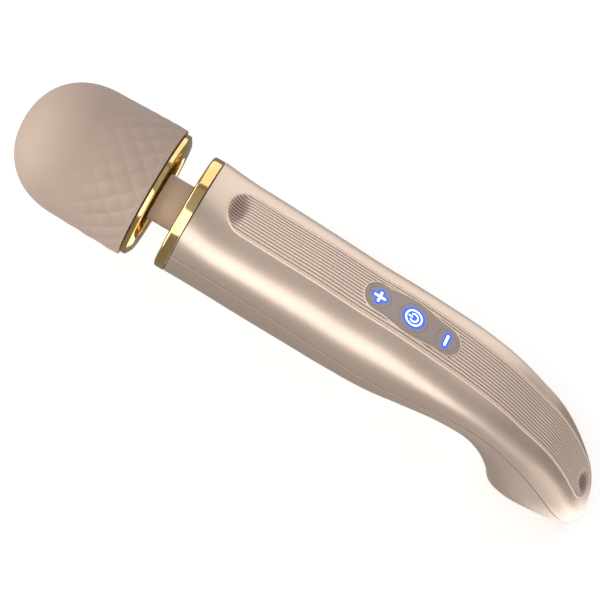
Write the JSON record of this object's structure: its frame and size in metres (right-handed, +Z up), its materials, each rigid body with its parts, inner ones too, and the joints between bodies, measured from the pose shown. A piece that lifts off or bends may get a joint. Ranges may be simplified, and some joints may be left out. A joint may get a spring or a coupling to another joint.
{
  "type": "handheld wand massager",
  "caption": "Cordless wand massager: silicone dome head on a flexible neck, gold collars, champagne handle with ribbed grip, lit key panel and curled tail",
  "frame": {"origin": "middle of the underside of the whole object's box, lying on its back with the keys up", "axes": "X along the neck and handle from the head (-X) to the tail (+X), Y across, Z up out of the key panel"},
  "size_m": [0.2396, 0.049, 0.0623],
  "materials": {
    "beige_silicone": "soft matte silicone, lightly dusty, pinkish beige",
    "plated_gold": "mirror-polished gold plating",
    "champagne_lacquer": "satin champagne metallic lacquer",
    "taupe_panel": "smooth satin taupe moulding",
    "taupe_key": "smooth satin taupe key with lit symbol",
    "dark_plastic": "matte dark brown moulding",
    "black_plastic": "matte black moulding",
    "zinc_plated_steel": "dull zinc plating",
    "bright_steel": "ground bright steel",
    "sintered_bronze": "oiled sintered bronze",
    "black_rubber": "matte black rubber",
    "green_board": "green solder mask with copper tracks",
    "clear_led": "clear resin",
    "cell_wrap": null,
    "red_wire": "red insulation",
    "black_wire": "black insulation"
  },
  "bodies": {
    "handle": {"front_shell": "champagne_lacquer", "rear_shell": "champagne_lacquer", "handle_ring": "plated_gold", "neck_socket": "dark_plastic", "control_panel": "taupe_panel", "circuit_board": "green_board", "plus_switch": "black_plastic", "power_switch": "black_plastic", "minus_switch": "black_plastic", "plus_led": "clear_led", "power_led": "clear_led", "minus_led": "clear_led", "board_screw_front": "bright_steel", "board_screw_rear": "bright_steel", "battery_cell": "cell_wrap", "battery_cradle": "dark_plastic", "battery_lead": "red_wire", "charging_plate": "dark_plastic", "charging_contact_front": "plated_gold", "charging_contact_rear": "plated_gold", "port_magnet_front": "zinc_plated_steel", "port_magnet_rear": "zinc_plated_steel", "charging_lead": "black_wire"},
    "neck": {"neck_sleeve": "beige_silicone", "neck_spring": "bright_steel", "motor_lead": "black_wire"},
    "head": {"head_cap": "beige_silicone", "head_ring": "plated_gold", "head_shell": "dark_plastic", "head_base": "dark_plastic", "motor_can": "zinc_plated_steel", "motor_grommet": "black_rubber", "shaft_bush": "sintered_bronze"},
    "rotor": {"motor_shaft": "bright_steel", "eccentric_weight": "bright_steel"},
    "plus_button": {"plus_key": "taupe_key"},
    "power_button": {"power_key": "taupe_key"},
    "minus_button": {"minus_key": "taupe_key"}
  },
  "joints": [
    {"name": "neck_tilt", "type": "hinge", "parent": "handle", "child": "neck", "pos_m": [-0.061, 0, 0.03781], "axis": [0, 1, 0], "range_deg": [-14, 14], "stiffness_Nm_per_rad": 4, "deforming": ["neck_spring"]},
    {"name": "neck_sway", "type": "hinge", "parent": "neck", "child": "head", "pos_m": [-0.061, 0, 0.03781], "axis": [0, 0, 1], "range_deg": [-12, 12], "stiffness_Nm_per_rad": 4, "deforming": ["motor_lead"]},
    {"name": "weight_spin", "type": "hinge", "parent": "head", "child": "rotor", "pos_m": [-0.061, 0, 0.03781], "axis": [-1, 0, 0], "continuous": true},
    {"name": "plus_press", "type": "slide", "parent": "handle", "child": "plus_button", "axis": [-0.0945, 0, -0.9955], "range_m": [0, 0.0004], "stiffness_N_per_m": 1500},
    {"name": "power_press", "type": "slide", "parent": "handle", "child": "power_button", "axis": [-0.0945, 0, -0.9955], "range_m": [0, 0.0004], "stiffness_N_per_m": 1500},
    {"name": "minus_press", "type": "slide", "parent": "handle", "child": "minus_button", "axis": [-0.0945, 0, -0.9955], "range_m": [0, 0.0004], "stiffness_N_per_m": 1500}
  ]
}
